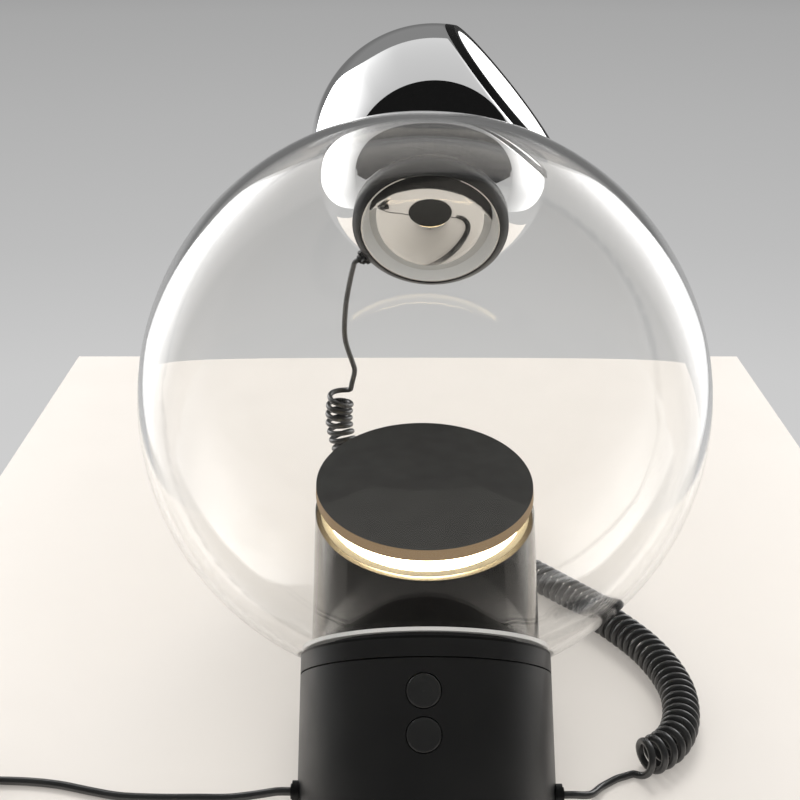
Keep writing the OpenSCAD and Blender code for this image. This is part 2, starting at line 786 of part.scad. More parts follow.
module cord_tie() {
    low = loop_in - cord_r - 1.2;
    wide = loop_r + cord_r + 0.4 - low;
    high = loop_lift + cord_d + (loop_layers - 1) * loop_rise + 0.4;
    color(rubber) translate([loop_centre[0] + low, loop_centre[1] + 4, 0]) rotate([90, 0, 0])
        linear_extrude(height = 8) difference() {
            translate([-0.8, 0]) rounded(wide + 1.6, high + 0.8, 2);
            translate([0, 0.8]) rounded(wide, high - 0.8, 1.2);
        }
}

module power_plug() {
    color(black) translate([loop_end[0], plug_face, loop_end[2]]) rotate([90, 0, 0]) {
        translate([-19, -loop_end[2], 12]) linear_extrude(height = 44) rounded(38, 28.5, 5);
        cylinder(r1 = 2.4, r2 = 4.2, h = 12, $fn = 48);
    }
}

module plug_pins() {
    color(steel) for (x = [-9.3, 9.3]) translate([loop_end[0] + x, plug_face - 56, loop_end[2]])
        rotate([90, 0, 0]) rotate_extrude($fn = 48)
            polygon([[0, 0], [2, 0], [2, 18], [1.4, 18.8], [0, 19]]);
}

base_body();
base_plate();
foot_pad();
plate_screws();
ballast();
tie_rod();
rod_nut();
switch_bracket();
switch_board();
tact_switches();
button_upper();
button_lower();
power_grommet();
lead_grommet();
collar();
trim_ring();
globe_gasket();
globe();
tower_tube();
tower_bridge();
driver_board();
driver_parts();
light_tray();
ring_board();
ring_leds();
ring_diffuser();
cap_posts();
cap_disc();
foot_ring();
foot_dish();
cable_hub();
hub_lead();
head_gland();
swivel_spindle();
thrust_washer();
spindle_clip();
swivel_plate();
head_shell();
head_bezel();
head_diffuser();
head_board();
head_leds();
head_heatsink();
head_screws();
lead_tail();
curly_lead();
lead_rise();
power_cord();
power_coil();
cord_tie();
power_plug();
plug_pins();
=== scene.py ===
"""Table lamp: leaning black base, light tower in a clear globe, chrome head on a curly lead."""
import math
import bmesh
import bpy
import numpy as np
from mathutils import Matrix, Vector


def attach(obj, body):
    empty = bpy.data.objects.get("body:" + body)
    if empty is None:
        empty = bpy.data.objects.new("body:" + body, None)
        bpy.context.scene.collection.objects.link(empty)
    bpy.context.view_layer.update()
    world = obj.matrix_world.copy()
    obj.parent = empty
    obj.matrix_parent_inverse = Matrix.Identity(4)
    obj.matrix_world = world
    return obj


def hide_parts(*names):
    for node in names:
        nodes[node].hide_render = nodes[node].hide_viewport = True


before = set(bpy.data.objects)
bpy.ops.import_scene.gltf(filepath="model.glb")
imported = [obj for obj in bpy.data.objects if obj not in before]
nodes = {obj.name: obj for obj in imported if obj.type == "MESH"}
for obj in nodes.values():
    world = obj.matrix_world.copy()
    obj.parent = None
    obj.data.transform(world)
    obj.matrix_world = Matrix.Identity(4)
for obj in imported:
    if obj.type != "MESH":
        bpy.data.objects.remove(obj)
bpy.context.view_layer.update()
MM = 0.001

# Glass and head, in millimetres, with the sizes of the part's source
GLOBE_R = 120
GLOBE_WALL = 3
NECK_R = 47
LEAN = math.radians(48)
GLOBE_U = GLOBE_R / math.sin(LEAN)
GLOBE_Y = GLOBE_R / math.tan(LEAN)
HEAD_R = 63.5
HEAD_WALL = 1.6
HEAD_EL = math.radians(24.5)
HEAD_AZ = math.radians(2.5)
EMITTER_TILT = math.radians(76)
EMITTER_TURN = math.radians(38.5)
EMITTER_CUT = 45.2
RING_R = 39
RING_IN = 34.5
DISH_T = 5
DISH_TOP = DISH_T + 1.5
DISH_WALL = 0.8
DISH_FIT = 0.05
DISH_LIFT = 0.5
FOOT_STEP = 1.1
FOOT_CUT = math.sqrt(HEAD_R ** 2 - (RING_R - FOOT_STEP) ** 2)
HEAD_T = FOOT_CUT + DISH_T + 2
GLAND_TURN = math.radians(146)
GLAND_REACH = RING_R + 5
GLAND_T = 1

# Leads, in millimetres, with the sizes of the part's source
LEAD_D = 2.9
CURL_R = 6.2
CURL_PITCH = 4.5
CURL_Z = CURL_R + LEAD_D / 2
EASE = 8
CORD_D = 3.2
CORD_Z = CORD_D / 2 + 0.1
LOOP_R = 25
LOOP_COUNT = 10.25
LOOP_LAYERS = 4
LOOP_SPACE = 0.62
LOOP_RISE = CORD_D + LOOP_SPACE + 0.08
LOOP_LIFT = 1
LOOP_X = -195
LOOP_Y = -20.5
LAYER_CHANGE = 0.25
PLUG_ENTRY = 13.5

# Points for each stretch or turn of a lead
ROUTE_STEPS = 8
CURL_STEPS = 16
LOOP_STEPS = 24
LEAD_STEPS = 5
CORD_STEPS = 3

# Domed mirror in the head's foot, in millimetres: its curve, edge, crown and flat top, and where the
# crown lies from the ring's middle
DOME_R = 97
DOME_OUT = 31
DOME_T = -0.3
DOME_RIM = 6.4
DOME_SIDE = -1.5
DOME_UP = -17.5
DOME_STEPS = 60
DOME_EDGE = math.radians(40)

# Foot ring's outline, in millimetres: the land that stands on the glass, the slope and the top edge
RING_LIFT = 0.1
RING_LAND = 0.5
RING_LAND_RISE = 0.1
RING_SLOPE = 3.4
RING_EDGE = 0.8
RING_EDGE_DROP = 1


def turn(angle, axis):
    return Matrix.Rotation(angle, 4, axis)


def shift(x, y, z):
    return Matrix.Translation((x, y, z))


def part_way(value, start, stop):
    """How far a value has come from start to stop, held between 0 and 1."""
    return min(max((value - start) / (stop - start), 0), 1)


# Places, in millimetres: along the leaning axis, on the globe under the head, and on the emitter
def on_axis(u):
    return turn(LEAN - math.pi / 2, "X") @ shift(0, 0, u)


def on_foot(t):
    place = shift(0, GLOBE_Y, GLOBE_R) @ turn(-HEAD_AZ, "Z")
    return place @ turn(HEAD_EL - math.pi / 2, "X") @ shift(0, 0, GLOBE_R + t)


def on_emitter(h):
    return on_foot(HEAD_T) @ turn(-EMITTER_TURN, "Z") @ turn(EMITTER_TILT, "Y") @ shift(0, 0, h)


def at_gland(r):
    return on_foot(GLAND_T) @ Vector((r * math.cos(GLAND_TURN), r * math.sin(GLAND_TURN), 0))


# Objects and their meshes
def add_object(name, data):
    obj = bpy.data.objects.new(name, data)
    bpy.context.scene.collection.objects.link(obj)
    return obj


def add_piece(name, data, mat):
    data.materials.append(mat)
    return add_object(name, data)


def arc(radius, start, stop, steps):
    """Points (radius, height) of a circle about the axis, by angle from its top, in degrees."""
    angles = [math.radians(start + (stop - start) * k / steps) for k in range(steps + 1)]
    return [(radius * math.sin(a), radius * math.cos(a)) for a in angles]


def lathe(name, profile, place, mat, segments):
    """A closed or open outline of (radius, height) points turned round the place's z axis."""
    angles = [2 * math.pi * k / segments for k in range(segments)]
    bm = bmesh.new()
    rings = []
    for r, h in profile:
        if r < 1e-6:
            spots = [place @ Vector((0, 0, h))]
        else:
            spots = [place @ Vector((r * math.cos(a), r * math.sin(a), h)) for a in angles]
        rings.append([bm.verts.new(spot * MM) for spot in spots])
    for low, high in zip(rings, rings[1:]):
        for k in range(segments):
            n = (k + 1) % segments
            if len(low) == 1:
                bm.faces.new((low[0], high[n], high[k]))
            elif len(high) == 1:
                bm.faces.new((low[k], low[n], high[0]))
            else:
                bm.faces.new((low[k], low[n], high[n], high[k]))
    bmesh.ops.remove_doubles(bm, verts=bm.verts, dist=1e-7)
    bmesh.ops.recalc_face_normals(bm, faces=bm.faces)
    for face in bm.faces:
        face.smooth = True
    mesh = bpy.data.meshes.new(name)
    bm.to_mesh(mesh)
    bm.free()
    return add_piece(name, mesh, mat)


# Routes of the leads: smooth lines, curls and loops
def blend_four(a, b, c, d, t):
    square = (2 * a - 5 * b + 4 * c - d) * t ** 2
    cube = (3 * b - a - 3 * c + d) * t ** 3
    return 0.5 * (2 * b + (c - a) * t + square + cube)


def smooth(points, per):
    """A smooth line through points, with a number of steps for each stretch."""
    p = np.array(points, float)
    last = len(p) - 1
    line = []
    for i in range(last):
        for j in range(per):
            line.append(blend_four(p[max(i - 1, 0)], p[i], p[i + 1], p[min(i + 2, last)], j / per))
    line.append(p[last])
    return np.array(line)


def led(points, per):
    """The same with straight ends, square to what they meet."""
    p = np.array(points, float)
    line = smooth(points, per)
    return np.concatenate([p[:1], line[per:-per], p[-1:]])


def unit(v):
    return v / np.linalg.norm(v)


def tangents(p):
    last = len(p) - 1
    return np.array([unit(p[min(i + 1, last)] - p[max(i - 1, 0)]) for i in range(last + 1)])


def length_along(p):
    steps = np.linalg.norm(np.diff(p, axis=0), axis=1)
    return np.concatenate([[0], np.cumsum(steps)])


def curl(route):
    """Points of a lead wound round a centre line, with both ends running along it, and its directions."""
    line = smooth(route, ROUTE_STEPS)
    run = length_along(line)
    total = run[-1]
    steps = int(total / CURL_PITCH * CURL_STEPS)
    s = total * np.arange(steps + 1) / steps
    centre = np.stack([np.interp(s, run, line[:, k]) for k in range(3)], axis=1)
    ahead = tangents(centre)
    normals = []
    normal = np.array([0.0, 0.0, -1.0])
    for direction in ahead:
        normal = unit(normal - np.dot(normal, direction) * direction)
        normals.append(normal)
    normals = np.array(normals)
    eased_in = s ** 2 / (2 * EASE)
    eased_out = total - EASE - (total - s) ** 2 / (2 * EASE)
    wound = np.where(s < EASE, eased_in, np.where(s > total - EASE, eased_out, s - EASE / 2))
    a = -2 * np.pi * wound / CURL_PITCH
    radial = np.cos(a)[:, None] * normals + np.sin(a)[:, None] * np.cross(ahead, normals)
    return centre + CURL_R * radial, ahead


def loops():
    """The put away loops of the power cord: layers that spiral in and out by turns."""
    turns = LOOP_COUNT / LOOP_LAYERS
    loop_in = LOOP_R - turns * (CORD_D + LOOP_SPACE)
    points = []
    for i in range(round(LOOP_COUNT * LOOP_STEPS) + 1):
        n = i / LOOP_STEPS
        a = math.pi / 2 + 2 * math.pi * n
        swing = abs(1 - n % (2 * turns) / turns)
        r = loop_in + (LOOP_R - loop_in) * swing
        change = min(max(math.floor(n / turns + 0.5), 1), LOOP_LAYERS - 1)
        x = part_way(n - change * turns, -LAYER_CHANGE, LAYER_CHANGE)
        layer = change - 1 + x * x * (3 - 2 * x)
        z = LOOP_LIFT + CORD_D / 2 + LOOP_RISE * layer
        points.append((LOOP_X + r * math.cos(a), LOOP_Y + r * math.sin(a), z))
    return np.array(points)


def lead_curve(name, points, diameter, mat):
    """A round lead as a curve through points in millimetres."""
    data = bpy.data.curves.new(name, "CURVE")
    data.dimensions = "3D"
    data.bevel_depth = diameter / 2 * MM
    data.bevel_resolution = 5
    data.resolution_u = 3
    data.use_fill_caps = True
    spline = data.splines.new("BEZIER")
    spline.bezier_points.add(len(points) - 1)
    for knot, p in zip(spline.bezier_points, points):
        knot.co = Vector(p) * MM
        knot.handle_left_type = "AUTO"
        knot.handle_right_type = "AUTO"
    return add_piece(name, data, mat)


# Materials
def shader_of(mat):
    return mat.node_tree.nodes["Principled BSDF"]


def new_material(name, **values):
    """A material with one Principled shader, whose plain values are set on its own sockets."""
    mat = bpy.data.materials.new(name)
    mat.use_nodes = True
    for key, value in values.items():
        socket = shader_of(mat).inputs[key.replace("_", " ")]
        if isinstance(value, tuple):
            value = value + (1.0,)
        socket.default_value = value
    return mat


def noise(mat, scale, detail=4):
    tree = mat.node_tree
    coord = tree.nodes.new("ShaderNodeTexCoord")
    node = tree.nodes.new("ShaderNodeTexNoise")
    node.inputs["Scale"].default_value = scale
    node.inputs["Detail"].default_value = detail
    tree.links.new(coord.outputs["Object"], node.inputs["Vector"])
    return node.outputs["Fac"]


def ranged(mat, source, low, high, start=0.3, stop=0.7):
    """A source's values from start to stop, spread from low to high."""
    tree = mat.node_tree
    node = tree.nodes.new("ShaderNodeMapRange")
    node.inputs["From Min"].default_value = start
    node.inputs["From Max"].default_value = stop
    node.inputs["To Min"].default_value = low
    node.inputs["To Max"].default_value = high
    tree.links.new(source, node.inputs["Value"])
    return node.outputs["Result"]


def vary_roughness(mat, scale, low, high):
    source = noise(mat, scale)
    mat.node_tree.links.new(ranged(mat, source, low, high), shader_of(mat).inputs["Roughness"])


def vary_colour(mat, scale, dark, light):
    tree = mat.node_tree
    ramp = tree.nodes.new("ShaderNodeValToRGB")
    ramp.color_ramp.elements[0].position = 0.3
    ramp.color_ramp.elements[0].color = dark + (1.0,)
    ramp.color_ramp.elements[1].position = 0.7
    ramp.color_ramp.elements[1].color = light + (1.0,)
    tree.links.new(noise(mat, scale), ramp.inputs["Fac"])
    tree.links.new(ramp.outputs["Color"], shader_of(mat).inputs["Base Color"])


def add_bump(mat, scale, strength, distance, detail=3):
    tree = mat.node_tree
    bump = tree.nodes.new("ShaderNodeBump")
    bump.inputs["Strength"].default_value = strength
    bump.inputs["Distance"].default_value = distance
    tree.links.new(noise(mat, scale, detail), bump.inputs["Height"])
    tree.links.new(bump.outputs["Normal"], shader_of(mat).inputs["Normal"])


def either(tree, first, second):
    """One where at least one of two outputs is one."""
    node = tree.nodes.new("ShaderNodeMath")
    node.operation = "MAXIMUM"
    tree.links.new(first, node.inputs[0])
    tree.links.new(second, node.inputs[1])
    return node.outputs["Value"]


def let_light_through(mat, tint):
    """Light passes the glass unbent on its way to matt surfaces, so that what is behind it is lit."""
    tree = mat.node_tree
    out = tree.nodes["Material Output"]
    path = tree.nodes.new("ShaderNodeLightPath")
    clear = tree.nodes.new("ShaderNodeBsdfTransparent")
    clear.inputs["Color"].default_value = tint + (1.0,)
    mix = tree.nodes.new("ShaderNodeMixShader")
    passing = either(tree, path.outputs["Is Shadow Ray"], path.outputs["Is Diffuse Ray"])
    tree.links.new(passing, mix.inputs["Fac"])
    tree.links.new(shader_of(mat).outputs["BSDF"], mix.inputs[1])
    tree.links.new(clear.outputs["BSDF"], mix.inputs[2])
    tree.links.new(mix.outputs["Shader"], out.inputs["Surface"])


def black_coat():
    mat = new_material("satin_black_coat", Specular_IOR_Level=0.9)
    vary_colour(mat, 35, (0.008, 0.008, 0.008), (0.011, 0.011, 0.0108))
    vary_roughness(mat, 60, 0.38, 0.46)
    add_bump(mat, 2600, 0.06, 0.0002)
    return mat


def plain_plastic(name, dark, light, low, high, grain, gloss=0.5):
    """A moulded surface: colour from dark to light, roughness from low to high, and a fine grain."""
    mat = new_material(name, Base_Color=dark, Specular_IOR_Level=gloss)
    vary_colour(mat, 60, dark, light)
    vary_roughness(mat, 110, low, high)
    add_bump(mat, grain, 0.08, 0.0002)
    return mat


def polished(name, colour, low, high):
    mat = new_material(name, Base_Color=colour, Metallic=1.0)
    vary_roughness(mat, 45, low, high)
    return mat


def turned_metal(name, colour, low, high):
    mat = new_material(name, Base_Color=colour, Metallic=1.0)
    vary_roughness(mat, 900, low, high)
    add_bump(mat, 1800, 0.05, 0.0001)
    return mat


def glowing(name, colour, strength, base):
    mat = new_material(name, Base_Color=base, Emission_Color=colour, Emission_Strength=strength)
    vary_roughness(mat, 80, 0.42, 0.55)
    return mat


def cap_painted_edge_glow():
    """Dark moulded disc with a painted warm glow on its edge: an emission that stands in for light from the
    ring under it.
    """
    mat = plain_plastic("cap_grey", (0.026, 0.0255, 0.0235), (0.03, 0.0295, 0.027), 0.56, 0.64, 2800, 0.2)
    tree = mat.node_tree
    shader_of(mat).inputs["Emission Color"].default_value = (1.0, 0.66, 0.34, 1.0)
    # Painted glow: the less a face points straight up, the stronger its warm emission, so the disc's edge
    # looks lit from below
    geometry = tree.nodes.new("ShaderNodeNewGeometry")
    split = tree.nodes.new("ShaderNodeSeparateXYZ")
    tree.links.new(geometry.outputs["Normal"], split.inputs["Vector"])
    glow = ranged(mat, split.outputs["Z"], 0.24, 0.0, 0.75, 0.95)
    tree.links.new(glow, shader_of(mat).inputs["Emission Strength"])
    return mat


def clear_glass():
    mat = new_material(
        "clear_glass", Base_Color=(0.98, 0.977, 0.97), Roughness=0.0, IOR=1.45, Transmission_Weight=1.0,
        Specular_Tint=(0.2, 0.2, 0.2))
    add_bump(mat, 9, 0.004, 0.001, detail=1)
    let_light_through(mat, (0.96, 0.96, 0.955))
    return mat


COAT = black_coat()
BUTTON = plain_plastic("button_black", (0.016, 0.016, 0.016), (0.022, 0.022, 0.021), 0.3, 0.4, 3200)
RUBBER = plain_plastic("rubber_black", (0.004, 0.004, 0.004), (0.007, 0.007, 0.007), 0.4, 0.5, 1800, 0.4)
LEAD = plain_plastic("lead_black", (0.02, 0.02, 0.02), (0.027, 0.027, 0.0265), 0.27, 0.35, 1800, 0.9)
PLASTIC = plain_plastic("plastic_black", (0.012, 0.012, 0.013), (0.018, 0.018, 0.018), 0.32, 0.45, 2200)
BEZEL = plain_plastic("bezel_black", (0.003, 0.003, 0.003), (0.005, 0.005, 0.005), 0.4, 0.5, 3000, 0.06)
CAP_PAINTED_GLOW = cap_painted_edge_glow()
BOARD = plain_plastic("board_green", (0.02, 0.09, 0.05), (0.03, 0.12, 0.06), 0.4, 0.5, 900)
CHROME = polished("mirror_chrome", (0.92, 0.92, 0.92), 0.012, 0.03)
DISH = polished("dish_mirror", (0.8, 0.79, 0.77), 0.02, 0.04)
SMOKED = polished("dark_chrome", (0.19, 0.18, 0.165), 0.1, 0.14)
TRIM = plain_plastic("trim_bright", (0.72, 0.71, 0.69), (0.78, 0.77, 0.75), 0.3, 0.4, 1500)
STEEL = turned_metal("plain_steel", (0.56, 0.56, 0.55), 0.28, 0.4)
IRON = turned_metal("ballast_iron", (0.16, 0.155, 0.15), 0.5, 0.65)
PINS = turned_metal("pin_metal", (0.72, 0.69, 0.62), 0.18, 0.28)
SATIN = plain_plastic("satin_grey", (0.82, 0.81, 0.79), (0.86, 0.85, 0.83), 0.35, 0.45, 1500)
TRAY = plain_plastic("tray_dark", (0.05, 0.048, 0.043), (0.064, 0.061, 0.055), 0.6, 0.7, 2000, 0.1)
GLOW = glowing("ring_light", (1.0, 0.82, 0.5), 40.0, (0.9, 0.88, 0.84))
LED = glowing("led_chip", (1.0, 0.86, 0.55), 2.0, (0.9, 0.8, 0.4))
FACE = glowing("face_light", (1.0, 0.995, 0.985), 0.9, (0.85, 0.85, 0.84))
GLASS = clear_glass()

FINISHES = {
    COAT: "base_body collar",
    BUTTON: "button_upper button_lower",
    RUBBER: "foot_pad power_grommet lead_grommet globe_gasket head_gland cord_tie",
    PLASTIC: "switch_bracket tact_switches driver_parts power_plug",
    BEZEL: "head_bezel",
    CAP_PAINTED_GLOW: "cap_disc",
    BOARD: "switch_board driver_board head_board ring_board",
    SMOKED: "tower_tube",
    TRIM: "trim_ring",
    STEEL: "base_plate plate_screws tie_rod rod_nut tower_bridge cap_posts swivel_spindle thrust_washer"
           " spindle_clip swivel_plate head_heatsink head_screws",
    IRON: "ballast",
    PINS: "plug_pins",
    TRAY: "light_tray",
    GLOW: "ring_diffuser",
    LED: "ring_leds head_leds",
    FACE: "head_diffuser",
}
for finish, names in FINISHES.items():
    for name in names.split():
        mesh = nodes[name].data
        mesh.materials.clear()
        mesh.materials.append(finish)

# Curly lead from the base to the head: a straight tail, the curls, and a rise to the gland
CURL_ROUTE = [
    (80.5, 9.5, CURL_Z), (89, 13.5, CURL_Z), (96.5, 20, CURL_Z), (102.3, 30, CURL_Z), (105.8, 43.5, CURL_Z),
    (106.6, 58, CURL_Z), (104, 74, CURL_Z), (98, 91, CURL_Z), (89, 107, CURL_Z), (79, 122, CURL_Z),
    (67, 138, CURL_Z), (54, 154, CURL_Z), (38, 172, CURL_Z), (21, 190, CURL_Z), (4, 207, CURL_Z + 0.5),
    (-12, 222, CURL_Z + 3), (-25, 233, 15.5), (-35, 241, 24.5), (-41, 246.5, 35), (-44, 249.5, 46.5),
    (-44, 250.5, 57.5), (-42, 250.5, 68),
]
curls, curl_ahead = curl(CURL_ROUTE)
curl_first = curls[0] - LEAD_D * curl_ahead[0]
curl_last = curls[-1] + LEAD_D * curl_ahead[-1]
tail = led([
    (51.5, -8, 5.5), (55.5, -8, 5.5), (62, -5.5, 3.6), (67.5, 1.5, LEAD_D / 2 + 0.3),
    curl_first - 4 * curl_ahead[0], curl_first,
], LEAD_STEPS)
rise = led([
    at_gland(GLAND_REACH), at_gland(GLAND_REACH + 3), (-37, 238, 132), (-39.5, 244, 116), (-40, 248, 98),
    curl_last + 8 * curl_ahead[-1], curl_last,
], LEAD_STEPS)
lead_points = np.concatenate([tail, curls[1:-1], rise[::-1]])
lead = lead_curve("curly_lead_round", lead_points, LEAD_D, LEAD)
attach(lead, "lamp")
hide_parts("lead_tail", "curly_lead", "lead_rise")

# Power cord: the run over the table, the put away loops, and the end that enters the plug
loop_points = loops()
loop_first = loop_points[0] + np.array([1.5 * CORD_D, 0.1, 0])
loop_end = loop_points[-1]
run_in = led([
    (-51.5, -6, 5.5), (-56.5, -6, 5.5), (-66, -5.5, 3.4), (-76, -5, CORD_Z), (-88, -5, CORD_Z),
    (-102, -5, CORD_Z), (-117, -4, CORD_Z), (-129, -1, CORD_Z), (-141, 2.5, CORD_Z), (-153, 4.5, CORD_Z),
    (-165, 5, CORD_Z + 0.2), (-176, 5, CORD_Z + 0.6),
    loop_first + 5 * unit(loop_first - loop_points[0]), loop_first,
], CORD_STEPS)
run_out = [loop_end - np.array([0, PLUG_ENTRY * k / 3, 0]) for k in (1, 2, 3)]
cord_points = np.concatenate([run_in, loop_points, run_out])
power = lead_curve("power_cord_round", cord_points, CORD_D, LEAD)
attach(power, "lamp")
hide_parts("power_cord", "power_coil")

# Camera, as the photograph sees the lamp
camera_data = bpy.data.cameras.new("camera")
camera_data.lens = 59.22
camera_data.sensor_width = 36
camera_data.clip_start = 0.01
camera = add_object("camera", camera_data)
camera.location = (-0.0102, -0.4125, 0.3296)
camera.rotation_euler = (math.radians(68), 0, 0)
bpy.context.scene.camera = camera

# Glass globe with a fire-polished rim at its neck
RIM_STEPS = 10
inner_r = GLOBE_R - GLOBE_WALL
mid_r = GLOBE_R - GLOBE_WALL / 2
neck_angle = 180 - math.degrees(math.asin((NECK_R + GLOBE_WALL / 2) / mid_r))
rim_mid = math.radians(neck_angle)
rim = []
for k in range(1, RIM_STEPS):
    bend = math.pi * k / RIM_STEPS
    along = GLOBE_WALL / 2 * math.sin(bend)
    out = GLOBE_WALL / 2 * math.cos(bend)
    r = (mid_r + out) * math.sin(rim_mid) + along * math.cos(rim_mid)
    h = (mid_r + out) * math.cos(rim_mid) - along * math.sin(rim_mid)
    rim.append((r, h))
globe_line = arc(GLOBE_R, 0, neck_angle, steps=120) + rim + arc(inner_r, neck_angle, 0, steps=120)
globe = lathe("globe_blown", globe_line, on_axis(GLOBE_U), GLASS, segments=240)
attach(globe, "lamp")
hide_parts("globe")

# Chrome head: a ball that is open at the emitter and at the foot
shell_in = HEAD_R - HEAD_WALL
cut_out = math.degrees(math.acos(EMITTER_CUT / HEAD_R))
cut_in = math.degrees(math.acos(EMITTER_CUT / shell_in))
shell_line = arc(HEAD_R, 180, cut_out, steps=110) + arc(shell_in, cut_in, 180, steps=110)
shell = lathe("head_shell_ball", shell_line, on_emitter(0), CHROME, segments=220)
bm = bmesh.new()
bm.from_mesh(shell.data)
foot_plane = on_foot(HEAD_T - FOOT_CUT)
cut = bmesh.ops.bisect_plane(
    bm, geom=bm.verts[:] + bm.edges[:] + bm.faces[:], dist=1e-7, plane_co=foot_plane.translation * MM,
    plane_no=foot_plane.to_3x3() @ Vector((0, 0, -1)), clear_outer=True)
cut_edges = [g for g in cut["geom_cut"] if isinstance(g, bmesh.types.BMEdge)]
bmesh.ops.bridge_loops(bm, edges=cut_edges)
bmesh.ops.recalc_face_normals(bm, faces=bm.faces)
bm.to_mesh(shell.data)
bm.free()
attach(shell, "head")
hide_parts("head_shell")

# Domed mirror in the head's foot: a flat front, whose points then move onto the dome
glass_t = math.sqrt(GLOBE_R ** 2 - RING_IN ** 2) - GLOBE_R
dish_r = RING_IN - DISH_FIT
dish_in = dish_r - DISH_WALL
dish_low = glass_t + DISH_LIFT
dish_line = [(DOME_OUT * k / DOME_STEPS, 0) for k in range(DOME_STEPS + 1)]
dish_line += [(dish_in, dish_low), (dish_r, dish_low), (dish_r, DISH_TOP), (0, DISH_TOP)]
dish = lathe("foot_dish_mirror", dish_line, on_foot(0), DISH, segments=200)
to_foot = on_foot(0).inverted()
sideways = (to_foot.to_3x3() @ Vector((1, 0, 0))).to_2d()
upward = (to_foot.to_3x3() @ Vector((0, 0, 1))).to_2d().normalized()
crown = sideways * DOME_SIDE + upward * DOME_UP
for vert in dish.data.vertices:
    spot = to_foot @ (vert.co / MM)
    if abs(spot.z) < 0.001:
        off = (spot.to_2d() - crown).length
        spot.z = min(DOME_T + DOME_R - math.sqrt(DOME_R ** 2 - off ** 2), DOME_RIM)
        vert.co = on_foot(0) @ spot * MM
dish.data.update()
dish.data.set_sharp_from_angle(angle=DOME_EDGE)

# Its wall is satin, and the flat strip at its top is black: painted shade that gives the mirror a dark
# crescent at its top
dish.data.materials.append(SATIN)
dish.data.materials.append(RUBBER)
for face in dish.data.polygons:
    if abs((to_foot.to_3x3() @ face.normal).z) < 0.5:
        face.material_index = 1
    # Painted shade: the flat top strip takes black rubber for the dark crescent
    elif abs((to_foot @ (face.center / MM)).z - DOME_RIM) < 0.01:
        face.material_index = 2
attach(dish, "lamp")
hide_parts("foot_dish", "cable_hub", "hub_lead")

# Foot ring, which stands on the glass with its inner edge
ring_low = glass_t + RING_LIFT
ring_line = [
    (RING_IN, ring_low), (RING_IN + RING_LAND, ring_low + RING_LAND_RISE), (RING_R, ring_low + RING_SLOPE),
    (RING_R, DISH_TOP - RING_EDGE_DROP), (RING_R - RING_EDGE, DISH_TOP), (RING_IN, DISH_TOP),
]
ring = lathe("foot_ring_turned", ring_line + ring_line[:1], on_foot(0), RUBBER, segments=160)
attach(ring, "lamp")
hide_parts("foot_ring")

# Stage, in metres and radians: a pale table under a flared arch of lit cloth, a soft sun for shadows,
# a dark hood that only gloss and glass see, and a grey backdrop
TABLE_LEFT = -0.244
TABLE_RIGHT = 0.235
TABLE_NEAR = -0.62
TABLE_BACK = 0.488
TABLE_LOW = -0.5
ARCH_R = 0.35
ARCH_Z = 0.1
ARCH_NEAR = 0.17
ARCH_SPAN = math.radians(112)
ARCH_DEEP = 0.36
ARCH_FLARE = 0.34
ARCH_BEND = (0.35, 1.3)
SIDE_DEEP = 2.4
SIDE_FLARE = 0.21
HOOD_R = 1.8
HOOD_LOW = math.radians(-20)
HOOD_HIGH = math.radians(118)
HOOD_SIDE = math.radians(5)

# Light of the arch: at its near edge, what its top, sides and hot stretches add towards the back, and
# the angles from overhead at which those set in and end
NEAR_LEVEL = 0.57
TOP_LEVEL = 0.13
SIDE_LEVEL = 1.2
HOT_LEVEL = 2.2
RIGHT_SHARE = 0.75
LEVEL_DEPTH = 0.3
SIDE_RISE = (math.radians(16), math.radians(66))
HOT_RISE = (math.radians(34), math.radians(54))
HOT_FALL = (math.radians(80), math.radians(100))
CLOTH_SOFT = 1.4

# Backdrop's greys by height, and the even light that matt surfaces get instead
BACKDROP_REACH = 0.4
GREYS = [
    (0.0, 0.62), (0.07, 0.6), (0.18, 0.51), (0.29, 0.45),
    (0.38, 0.39), (0.5, 0.18), (0.7, 0.17), (0.95, 0.24),
]
FILL = 0.85


def plain_mesh(name, verts, faces, mat):
    mesh = bpy.data.meshes.new(name)
    mesh.from_pydata(verts, [], faces)
    mesh.update()
    return add_piece(name, mesh, mat)


def sheet(name, point, columns, rows, mat):
    """A curved sheet, where point(u, v) gives its corners for u and v from 0 to 1."""
    verts = [point(k / columns, m / rows) for k in range(columns + 1) for m in range(rows + 1)]
    step = rows + 1
    faces = []
    for k in range(columns):
        for m in range(rows):
            corner = k * step + m
            faces.append((corner, corner + 1, corner + step + 1, corner + step))
    return plain_mesh(name, verts, faces, mat)


def lit_cloth():
    """Cloth that glows by the level its sheet gives at each corner, with less of it on matt surfaces."""
    mat = bpy.data.materials.new("lit_cloth")
    mat.use_nodes = True
    tree = mat.node_tree
    tree.nodes.remove(shader_of(mat))
    glow = tree.nodes.new("ShaderNodeEmission")
    level = tree.nodes.new("ShaderNodeAttribute")
    level.attribute_name = "level"
    path = tree.nodes.new("ShaderNodeLightPath")
    soft = tree.nodes.new("ShaderNodeMath")
    soft.operation = "MINIMUM"
    soft.inputs[1].default_value = CLOTH_SOFT
    tree.links.new(level.outputs["Fac"], soft.inputs[0])
    pick = tree.nodes.new("ShaderNodeMix")
    tree.links.new(path.outputs["Is Diffuse Ray"], pick.inputs["Factor"])
    tree.links.new(level.outputs["Fac"], pick.inputs["A"])
    tree.links.new(soft.outputs["Value"], pick.inputs["B"])
    tree.links.new(pick.outputs["Result"], glow.inputs["Strength"])
    tree.links.new(glow.outputs["Emission"], tree.nodes["Material Output"].inputs["Surface"])
    mat.cycles.emission_sampling = "NONE"
    return mat


